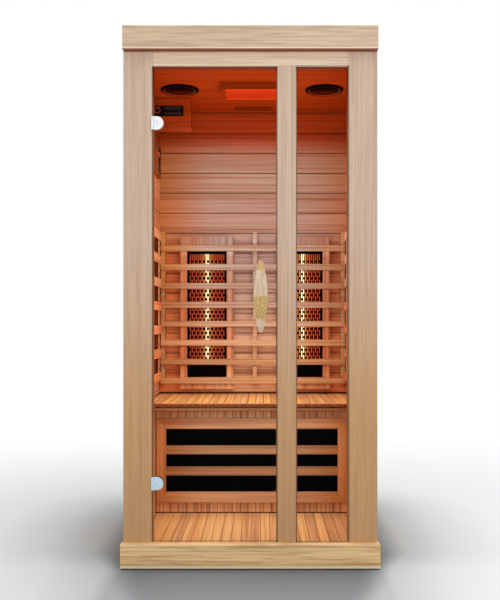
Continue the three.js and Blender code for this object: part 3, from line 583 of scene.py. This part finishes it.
satinBlack = darkFinish("satinBlack", (0.005, 0.0036, 0.0036, 1), 0.4, gloss=0.08)
keyGrey = darkFinish("keyGrey", shade(74, 72, 72), 0.36)
powderBlack = darkFinish("powderBlack", (0.0008, 0.0007, 0.0007, 1), 0.5, 500.0, 0.0, 0.0004, 0.02)
chrome = chromeFinish()
carbonFilm = carbonFinish("carbonFilm", shade(1, 1, 1), shade(3, 3, 3))
# brown-red film: painted reflection of the warm room on the side heaters
sideFilmReflection = carbonFinish("sideFilmReflection", shade(82, 29, 10), shade(108, 40, 15))
hingeLine = darkFinish("hingeLine", shade(196, 206, 214), 0.3, 700.0, 0.6)
screwBrass = darkFinish("screwBrass", shade(142, 92, 62), 0.4, 700.0, 0.5)
copperRing = darkFinish("copperRing", shade(172, 92, 54), 0.3, 700.0, 0.6)
lensGlow = lampFinish("lensGlow", shade(204, 38, 2), shade(212, 54, 5), 1.0, 9.0)
tubeGlow = lampFinish("tubeGlow", shade(255, 240, 205), shade(255, 214, 150), 2.2, 30.0)
digitGlow = lampFinish("digitGlow", shade(255, 40, 24), shade(255, 70, 40), 1.6, 60.0)
screenGlow = lampFinish("screenGlow", shade(70, 74, 78), shade(44, 48, 52), 0.25, 40.0)


def dress(material, names):
    for name in names:
        nodes[name].data.materials.clear()
        nodes[name].data.materials.append(material)


for material, names in woods:
    dress(material, names)
dress(powderBlack, ["power_box"] + ["heater_housing_" + side for side in ("left", "right")])
dress(carbonFilm, ["calf_heater"])
dress(sideFilmReflection, ["side_heater_left", "side_heater_right"])
dress(satinBlack, ["player_face", "player_knob", "control_panel"])
dress(keyGrey, ["start_button", "light_button"])
for pane in ("fixed_glass", "door_glass"):
    dress(glassFinish(pane.replace("_g", "G"), pane), [pane])
dress(tubeGlow, ["heater_tube_left", "heater_tube_right"])
dress(lensGlow, ["light_diffuser"])
for side in ("left", "right"):
    dress(speakerFinish("speaker_" + side), ["speaker_" + side])
for place in ("upper", "lower"):
    dress(chrome, ["hinge_" + part + "_" + place for part in ("leaf", "clamp", "backplate")])
print("finishes set:", len(bpy.data.materials))


# Rows of equal pieces by Geometry Nodes
def rowTree(name, shape):
    tree = bpy.data.node_groups.new(name, "GeometryNodeTree")
    made = {}
    wanted = [("Count", "NodeSocketInt"), ("Rows", "NodeSocketInt"), ("Start", "NodeSocketVector"),
              ("Step", "NodeSocketVector"), ("RowStep", "NodeSocketVector"), ("Shift", "NodeSocketVector"),
              ("Size", "NodeSocketVector"), ("Turn", "NodeSocketVector"), ("Finish", "NodeSocketMaterial")]
    for label, kind in wanted:
        made[label] = tree.interface.new_socket(name=label, in_out="INPUT", socket_type=kind).identifier
    tree.interface.new_socket(name="Geometry", in_out="OUTPUT", socket_type="NodeSocketGeometry")
    given = tree.nodes.new("NodeGroupInput")

    def add(kind, settings=None, values=None):
        node = tree.nodes.new(kind)
        for key, setting in (settings or {}).items():
            setattr(node, key, setting)
        for key, value in (values or {}).items():
            if isinstance(value, bpy.types.NodeSocket):
                tree.links.new(value, node.inputs[key])
            else:
                node.inputs[key].default_value = value
        return node

    def number(operation, first, second):
        return add("ShaderNodeMath", {"operation": operation}, {0: first, 1: second}).outputs[0]

    def scaled(vector, amount):
        return add("ShaderNodeVectorMath", {"operation": "SCALE"}, {0: vector, "Scale": amount}).outputs[0]

    def total(first, second):
        return add("ShaderNodeVectorMath", {"operation": "ADD"}, {0: first, 1: second}).outputs[0]

    index = add("GeometryNodeInputIndex").outputs[0]
    row = number("FLOOR", number("DIVIDE", index, given.outputs["Count"]), 0.0)
    column = number("SUBTRACT", index, number("MULTIPLY", row, given.outputs["Count"]))
    odd = number("FLOORED_MODULO", row, 2.0)
    place = total(given.outputs["Start"], scaled(given.outputs["Step"], column))
    place = total(place, scaled(given.outputs["RowStep"], row))
    place = total(place, scaled(given.outputs["Shift"], odd))
    count = number("MULTIPLY", given.outputs["Count"], given.outputs["Rows"])
    points = add("GeometryNodePoints", None, {"Count": count, "Position": place})
    if shape == "bar":
        piece = add("GeometryNodeMeshCube", None, {"Size": given.outputs["Size"]}).outputs[0]
    else:
        split = add("ShaderNodeSeparateXYZ", None, {0: given.outputs["Size"]})
        size = {"Vertices": 20, "Radius": split.outputs[0], "Depth": split.outputs[2]}
        piece = add("GeometryNodeMeshCylinder", None, size).outputs[0]
    copies = {"Points": points.outputs[0], "Instance": piece, "Rotation": given.outputs["Turn"]}
    put = add("GeometryNodeInstanceOnPoints", None, copies)
    real = add("GeometryNodeRealizeInstances", None, {0: put.outputs[0]})
    painted = {"Geometry": real.outputs[0], "Material": given.outputs["Finish"]}
    done = add("GeometryNodeSetMaterial", None, painted)
    output = tree.nodes.new("NodeGroupOutput")
    tree.links.new(done.outputs[0], output.inputs[0])
    return tree, made


barTree = rowTree("barRow", "bar")
discTree = rowTree("discRow", "disc")


def rowMesh(treeAndInputs, **inputs):
    tree, made = treeAndInputs
    holder = bpy.data.objects.new("row", bpy.data.meshes.new("row"))
    bpy.context.scene.collection.objects.link(holder)
    rows = holder.modifiers.new("rows", "NODES")
    rows.node_group = tree
    plain = {"Rows": 1, "RowStep": (0, 0, 0), "Shift": (0, 0, 0), "Turn": (0, 0, 0)}
    for label, value in {**plain, **inputs}.items():
        rows[made[label]] = value
    bpy.context.view_layer.update()
    depsgraph = bpy.context.evaluated_depsgraph_get()
    mesh = bpy.data.meshes.new_from_object(holder.evaluated_get(depsgraph))
    bpy.data.objects.remove(holder)
    return mesh


def pieceOf(name, meshes, material, body, bevel=0.0):
    # joins meshes into one piece that rides on a body
    joined = bmesh.new()
    for mesh in meshes:
        joined.from_mesh(mesh)
    whole = bpy.data.meshes.new(name)
    joined.to_mesh(whole)
    joined.free()
    whole.materials.clear()
    whole.materials.append(material)
    for face in whole.polygons:
        face.material_index = 0
    piece = bpy.data.objects.new(name, whole)
    bpy.context.scene.collection.objects.link(piece)
    if bevel:
        soft = piece.modifiers.new("soft", "BEVEL")
        soft.width = bevel
        soft.segments = 2
        soft.limit_method = "ANGLE"
    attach(piece, body)
    return piece


def barMesh(low, high):
    size = [b - a for a, b in zip(low, high)]
    middle = tuple((a + b) / 2 for a, b in zip(low, high))
    return rowMesh(barTree, Count=1, Start=middle, Step=(0, 0, 0), Size=tuple(size), Finish=None)


# Slotted heater covers: upright strips with staggered bridges, and the lit tray behind them
cover = {"columns": 18, "border": 0.0062, "strip": 0.0047, "period": 0.0379, "bridge": 0.0102,
         "foot": 0.066, "head": 0.012}


def heaterCover(side):
    node = "heater_grille_" + side
    low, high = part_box(node)
    middleY = (low.y + high.y) / 2
    thick = high.y - low.y
    width = high.x - low.x - 2 * cover["border"]
    pitch = (width - cover["strip"]) / cover["columns"]
    bottom = low.z + cover["foot"]
    top = high.z - cover["head"]
    rows = int((top - bottom) / cover["period"]) + 1
    border = [
        barMesh((low.x, low.y, low.z), (high.x, high.y, bottom)),
        barMesh((low.x, low.y, top), (high.x, high.y, high.z)),
        barMesh((low.x, low.y, bottom), (low.x + cover["border"], high.y, top)),
        barMesh((high.x - cover["border"], low.y, bottom), (high.x, high.y, top)),
    ]
    firstX = low.x + cover["border"] + cover["strip"] / 2
    strips = rowMesh(barTree, Count=cover["columns"] + 1, Start=(firstX, middleY, (bottom + top) / 2),
                     Step=(pitch, 0, 0), Size=(cover["strip"], thick, top - bottom), Finish=powderBlack)
    bridges = rowMesh(barTree, Count=rows - 1, Rows=cover["columns"],
                      Start=(firstX + pitch / 2, middleY, bottom + cover["period"] / 2),
                      Step=(0, 0, cover["period"]), RowStep=(pitch, 0, 0), Shift=(0, 0, cover["period"] / 2),
                      Size=(pitch - cover["strip"], thick, cover["bridge"]), Finish=powderBlack)
    piece = pieceOf("heater_cover_" + side, border + [strips, bridges], powderBlack, "cabin")
    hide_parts(node)


tray = {"stops": [(0.0, (1.0, 0.9, 0.62, 1)), (0.07, (1.0, 0.55, 0.14, 1)), (0.2, (0.9, 0.2, 0.03, 1)),
                  (0.42, (0.64, 0.07, 0.014, 1)), (1.0, (0.48, 0.04, 0.008, 1))],
        "strength": 1.0, "wallGap": 0.003, "backGap": 0.004, "tubeGap": 0.001, "steps": 16}


def litTray(side):
    # reflector sheet, bowed towards the tube, that fills the tray; its glow is painted light from the tube
    low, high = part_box("heater_housing_" + side)
    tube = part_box("heater_tube_" + side)
    wallGap = tray["wallGap"]
    backY = high.y - tray["backGap"]
    frontEdge = tube[1].y + tray["tubeGap"]
    steps = tray["steps"]
    sheet = bmesh.new()
    columns = []
    for i in range(steps + 1):
        share = i / steps
        x = low.x + wallGap + (high.x - low.x - 2 * wallGap) * share
        y = backY - (backY - frontEdge) * abs(2 * share - 1) ** 2
        columns.append([sheet.verts.new((x, y, z)) for z in (low.z + wallGap, high.z - wallGap)])
    for left, right in zip(columns, columns[1:]):
        sheet.faces.new((left[0], right[0], right[1], left[1]))
    mesh = bpy.data.meshes.new("reflector")
    sheet.to_mesh(mesh)
    sheet.free()
    glow = glowFinish("trayGlow" + side.capitalize(), tray["stops"], tray["strength"], "heater_housing_" + side)
    pieceOf("heater_reflector_" + side, [mesh], glow, "cabin")


for side in ("left", "right"):
    heaterCover(side)
    litTray(side)
print("heater covers made")


# Fittings: screws, hinge rings, display digits, player screen and keys, vent holes, knob mark
quarter = math.pi / 2


def discs(start, step, count, radius, depth, turn, rows=1, rowStep=(0, 0, 0)):
    return rowMesh(discTree, Count=count, Rows=rows, Start=start, Step=step, RowStep=rowStep,
                   Size=(radius, radius, depth), Turn=turn, Finish=screwBrass)


def ringMesh(x, z, hole, rim, nearY, farY, steps=40):
    # flat ring that faces the front, with its two edges
    ring = bmesh.new()
    loops = []
    for radius, y in ((hole, farY), (hole, nearY), (rim, nearY), (rim, farY)):
        turns = [2 * math.pi * i / steps for i in range(steps)]
        loops.append([ring.verts.new((x + radius * math.cos(a), y, z + radius * math.sin(a))) for a in turns])
    for first, second in zip(loops, loops[1:] + loops[:1]):
        for i in range(steps):
            j = (i + 1) % steps
            ring.faces.new((first[i], second[i], second[j], first[j]))
    bmesh.ops.recalc_face_normals(ring, faces=ring.faces)
    mesh = bpy.data.meshes.new("ring")
    ring.to_mesh(mesh)
    ring.free()
    return mesh


hinge = {"bolt": 0.0032, "boltHeight": 0.0012, "proud": 0.005,
         "ringHole": 0.0084, "ringRim": 0.01, "ringHalf": 0.0004}
hingeBolts = []
hingeRings = []
for place in ("upper", "lower"):
    low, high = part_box("hinge_clamp_" + place)
    half = (high.z - low.z) / 2
    boltX, boltZ = high.x - half, low.z + half
    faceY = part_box("door_glass")[0].y - hinge["proud"]
    hingeBolts.append(discs((boltX, faceY, boltZ), (0, 0, 0), 1, hinge["bolt"], hinge["boltHeight"],
                            (quarter, 0, 0)))
    hingeRings.append(ringMesh(boltX, boltZ, hinge["ringHole"], hinge["ringRim"],
                               faceY - hinge["ringHalf"], faceY + hinge["ringHalf"]))
pieceOf("hinge_bolts", hingeBolts, hingeLine, "door", 0.0003)

guardScrews = []
for side, sign in (("left", -1), ("right", 1)):
    low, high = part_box("side_guard_" + side)
    face = high.x if sign < 0 else low.x
    for y in (low.y + guard["inset"], high.y - guard["inset"]):
        guardScrews.append(discs((face, y, guard["firstScrew"]), (0, 0, guard["pitch"]), guard["slats"],
                                 guard["screw"], guard["screwHeight"], (0, quarter, 0)))
pieceOf("guard_screws", guardScrews, screwBrass, "cabin")

restLow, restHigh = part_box("backrest")
restScrews = [discs((x, restLow.y, rest["firstScrew"]), (0, 0, rest["pitch"]), rest["slats"],
                    rest["screw"], rest["screwHeight"], (quarter, 0, 0))
              for x in (restLow.x + rest["inset"], rest["middle"], restHigh.x - rest["inset"])]
pieceOf("backrest_screws", restScrews, screwBrass, "cabin")

# tongues just under the gaps between bench slats, coloured with painted shade
tongueZ = benchHigh.z - bench["tongueBelow"] - bench["tongueHeight"] / 2
tongueLength = benchHigh.y - benchLow.y - bench["tongueShort"]
tongues = rowMesh(barTree, Count=bench["slats"] - 1, Step=(benchPitch, 0, 0), Finish=shadedGap,
                  Start=(benchLow.x + benchPitch, (benchLow.y + benchHigh.y) / 2, tongueZ),
                  Size=(bench["tongue"], tongueLength, bench["tongueHeight"]))
pieceOf("bench_tongues", [tongues], shadedGap, "cabin")

screwStart = (benchLow.x + benchPitch / 2, benchLow.y + bench["screwInset"], benchHigh.z)
benchScrews = discs(screwStart, (benchPitch, 0, 0), bench["slats"], bench["screw"], bench["screwHeight"],
                    (0, 0, 0), 2, (0, benchHigh.y - benchLow.y - bench["screwMargin"], 0))
pieceOf("bench_screws", [benchScrews], screwBrass, "cabin")

digit = {"height": 0.018, "width": 0.010, "stroke": 0.0022, "gap": 0.006, "thick": 0.0008,
         "inset": 0.026, "drop": 0.034}
segmentsOf = {4: "bcfg", 5: "acdfg"}


def digitBars(face, y, z, value):
    # bars of one seven-segment figure on the panel, read from the room
    h, w, s = digit["height"], digit["width"], digit["stroke"]
    spans = {"a": (0, w, h - s, h), "d": (0, w, 0, s), "g": (0, w, (h - s) / 2, (h + s) / 2),
             "f": (0, s, h / 2, h), "b": (w - s, w, h / 2, h), "c": (w - s, w, 0, h / 2)}
    bars = []
    for key in segmentsOf[value]:
        y0, y1, z0, z1 = spans[key]
        bars.append(barMesh((face, y + y0, z + z0), (face + digit["thick"], y + y1, z + z1)))
    return bars


panelLow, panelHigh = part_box("control_panel")
figures = []
for i, value in enumerate((4, 5)):
    figureY = panelLow.y + digit["inset"] + i * (digit["width"] + digit["gap"])
    figures += digitBars(panelHigh.x, figureY, panelHigh.z - digit["drop"], value)
pieceOf("panel_figures", figures, digitGlow, "cabin")

player = {"screenLeft": 0.046, "screenRight": 0.012, "screenFoot": 0.016, "screenHead": 0.005,
          "screenThick": 0.0008, "keys": 6, "keySize": (0.007, 0.002, 0.005), "keyPitch": 0.0125,
          "keyLeft": 0.052, "keyOut": 0.001, "keyUp": 0.011}
faceLow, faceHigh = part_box("player_face")
screenLow = (faceLow.x + player["screenLeft"], faceLow.y - player["screenThick"],
             faceHigh.z - player["screenFoot"])
screenHigh = (faceHigh.x - player["screenRight"], faceLow.y, faceHigh.z - player["screenHead"])
pieceOf("player_screen", [barMesh(screenLow, screenHigh)], screenGlow, "cabin", 0.0003)
keyStart = (faceLow.x + player["keyLeft"], faceLow.y - player["keyOut"], faceLow.z + player["keyUp"])
keys = rowMesh(barTree, Count=player["keys"], Start=keyStart, Step=(player["keyPitch"], 0, 0),
               Size=player["keySize"], Finish=keyGrey)
pieceOf("player_keys", [keys], keyGrey, "cabin", 0.0005)

vent = {"holes": 14, "rows": 2, "rowPitch": 0.034, "hole": (0.0075, 0.023, 0.001), "sink": 0.0004}
ventLow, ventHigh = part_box("ceiling_vent")
ventPitch = (ventHigh.x - ventLow.x) / (vent["holes"] + 1)
ventY = (ventLow.y + ventHigh.y - vent["rowPitch"]) / 2
ventHoles = rowMesh(barTree, Count=vent["holes"], Rows=vent["rows"], Finish=powderBlack, Size=vent["hole"],
                    Start=(ventLow.x + ventPitch, ventY, ventLow.z + vent["sink"]),
                    Step=(ventPitch, 0, 0), RowStep=(0, vent["rowPitch"], 0))
pieceOf("vent_holes", [ventHoles], powderBlack, "cabin")

knob = {"markHalf": 0.0008, "markOut": 0.0005, "markFrom": 0.006, "markTo": 0.003,
        "ringHole": 0.66, "ringRim": 0.84, "ringOut": 0.0006, "ringIn": 0.0004}
knobLow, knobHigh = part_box("player_knob")
knobX = (knobLow.x + knobHigh.x) / 2
knobZ = (knobLow.z + knobHigh.z) / 2
knobRadius = (knobHigh.x - knobLow.x) / 2
mark = barMesh((knobX - knob["markHalf"], knobLow.y - knob["markOut"], knobZ + knob["markFrom"]),
               (knobX + knob["markHalf"], knobLow.y, knobHigh.z - knob["markTo"]))
pieceOf("knob_mark", [mark], digitGlow, "knob")
pieceOf("hinge_rings", hingeRings, hingeLine, "door")
knobRing = ringMesh(knobX, knobZ, knobRadius * knob["ringHole"], knobRadius * knob["ringRim"],
                    knobLow.y - knob["ringOut"], knobLow.y + knob["ringIn"])
pieceOf("knob_ring", [knobRing], copperRing, "knob")
print("fittings made")


# Stage, light and camera
view = {"focalPixels": 804.0, "away": 2.833, "side": 0.041, "eye": 0.858,
        "photo": (500, 600), "vanish": (262.0, 323.0)}


def makeCamera():
    data = bpy.data.cameras.new("photoView")
    tall = view["photo"][1]
    data.lens = view["focalPixels"] * data.sensor_width / tall
    data.shift_x = (view["photo"][0] / 2 - view["vanish"][0]) / tall
    data.shift_y = (view["vanish"][1] - tall / 2) / tall
    camera = bpy.data.objects.new("photoView", data)
    camera.location = (view["side"], frontY - view["away"], view["eye"])
    camera.rotation_euler = (math.pi / 2, 0, 0)
    bpy.context.scene.collection.objects.link(camera)
    bpy.context.scene.camera = camera


studio = {
    "world": 0.58, "floor": 9.0, "half": 0.45, "contact": 0.01,
    "front": 0.14, "left": 0.85, "right": 0.9, "reach": 1.5,  # how fast the shade fades, and how far it goes
    "aheadFrom": -0.22, "aheadTo": 0.03, "taper": 0.3, "sideFrom": 0.38, "sideTo": 0.52,
    "rightDrop": 0.1, "leftDrop": 0.07,
    "shadow": [(0.0, shade(112, 116, 120)), (0.03, shade(146, 150, 154)), (0.08, shade(200, 204, 207)),
               (0.19, shade(228, 231, 233)), (0.34, shade(245, 246, 247)), (1.0, shade(250, 250, 250))],
}


def makeFloor():
    mesh = bpy.data.meshes.new("floor")
    wide = studio["floor"]
    corners = [(-wide, -wide, 0), (wide, -wide, 0), (wide, wide, 0), (-wide, wide, 0)]
    mesh.from_pydata(corners, [], [(0, 1, 2, 3)])
    floor = bpy.data.objects.new("floor", mesh)
    bpy.context.scene.collection.objects.link(floor)
    graph = Graph("paleFloor")
    # soft contact shade round the foot of the cabin, fading to white far away
    half = studio["half"]
    offX = ((graph.x - half) * studio["right"]).most((graph.x + half) * -studio["left"]).most(0.0)
    offY = (graph.y - half).most((graph.y + half) * -studio["front"]).most(0.0)
    # the shade in front is no wider than the plinth
    ahead = graph.y.between(studio["aheadFrom"], -half - studio["aheadTo"])
    narrow = (graph.y + half) * -studio["taper"]
    right = (graph.x + narrow).between(studio["sideFrom"], studio["sideTo"]) * studio["rightDrop"]
    left = (narrow - graph.x).between(studio["sideFrom"], studio["sideTo"]) * studio["leftDrop"]
    offX = offX + ahead * (right + left)
    away = (offX * offX + offY * offY).math("SQRT")
    colour = graph.add("ShaderNodeValToRGB", {"stops": studio["shadow"]}, {0: away / studio["reach"]})
    contact = graph.y.over(plinthFront - studio["contact"]) * graph.y.under(0.0) * abs(graph.x).under(half)
    colour = graph.mix(contact, colour, shade(36, 36, 36))
    surface = graph.add("ShaderNodeBsdfDiffuse", None, {"Color": colour})
    white = graph.add("ShaderNodeEmission", None, {"Color": (1, 1, 1, 1)})
    seen = graph.add("ShaderNodeLightPath", out="Is Camera Ray")
    spread = (graph.x * graph.x + graph.y * graph.y).math("SQRT")
    far = away.between(0.1, 2.4).most(spread.between(1.2, 3.4)) * seen
    graph.show(graph.add("ShaderNodeMixShader", None, {0: far, 1: surface, 2: white}))
    mesh.materials.append(graph.material)


def makeWorld():
    world = bpy.data.worlds.new("studio")
    bpy.context.scene.world = world
    world.use_nodes = True
    tree = world.node_tree
    tree.nodes.clear()
    path = tree.nodes.new("ShaderNodeLightPath")
    soft = tree.nodes.new("ShaderNodeBackground")
    soft.inputs["Strength"].default_value = studio["world"]
    white = tree.nodes.new("ShaderNodeBackground")
    first = tree.nodes.new("ShaderNodeMath")
    first.operation = "MAXIMUM"
    second = tree.nodes.new("ShaderNodeMath")
    second.operation = "MAXIMUM"
    blend = tree.nodes.new("ShaderNodeMixShader")
    output = tree.nodes.new("ShaderNodeOutputWorld")
    soft.inputs["Color"].default_value = (1, 1, 1, 1)
    white.inputs["Color"].default_value = (1, 1, 1, 1)
    tree.links.new(path.outputs["Is Camera Ray"], first.inputs[0])
    tree.links.new(path.outputs["Is Glossy Ray"], first.inputs[1])
    tree.links.new(first.outputs[0], second.inputs[0])
    tree.links.new(path.outputs["Is Transmission Ray"], second.inputs[1])
    tree.links.new(second.outputs[0], blend.inputs[0])
    tree.links.new(soft.outputs[0], blend.inputs[1])
    tree.links.new(white.outputs[0], blend.inputs[2])
    tree.links.new(blend.outputs[0], output.inputs[0])


def areaLamp(name, place, target, size, power, colour):
    data = bpy.data.lights.new(name, "AREA")
    data.shape = "RECTANGLE"
    data.size, data.size_y = size
    data.energy = power
    data.color = colour
    lamp = bpy.data.objects.new(name, data)
    lamp.location = place
    lamp.rotation_euler = (Vector(target) - Vector(place)).to_track_quat("-Z", "Y").to_euler()
    lamp.visible_camera = False
    lamp.visible_glossy = False
    bpy.context.scene.collection.objects.link(lamp)


warmWhite = (1.0, 0.97, 0.94)
coolWhite = (0.84, 0.92, 0.95)
lamps = [
    # name, place, target, size, power, colour
    ("frontSoft", (0.5, -4.0, 1.6), (0, 0, 0.95), (3.0, 2.6), 38.0, (1, 1, 1)),
    ("overhead", (0.6, -0.4, 4.2), (0, 0, 0), (3.0, 3.0), 86.0, (1, 1, 1)),
    ("roomFront", (0.0, frontY + 0.08, 1.2), (0.0, 0.5, 1.2), (0.76, 1.0), 3.0, (1.0, 0.98, 0.96)),
    ("roomTop", (0.0, -0.12, 1.74), (0.0, -0.1, 0.0), (0.5, 0.4), 1.05, warmWhite),
    ("benchFill", (0.0, 0.0, 1.0), (0.0, 0.08, 0.5), (0.7, 0.2), 1.9, warmWhite),
    ("floorFill", (0.0, -0.2, 0.5), (0.0, -0.2, 0.0), (0.75, 0.2), 1.6, warmWhite),
    ("leftFill", (-0.12, 0.12, 1.1), (-0.4, 0.12, 1.1), (0.24, 0.24), 0.31, coolWhite),
    ("rightFill", (0.12, 0.12, 1.1), (0.4, 0.12, 1.1), (0.24, 0.24), 0.31, coolWhite),
    ("roomGlow", (0.0, 0.0, 1.4), (0.0, 0.0, 1.9), (0.7, 0.6), 2.2, (1.0, 0.62, 0.26)),
]


makeCamera()
makeFloor()
makeWorld()
for lamp in lamps:
    areaLamp(*lamp)
bpy.context.scene.view_settings.view_transform = "Standard"
print("stage, lamps and camera set")
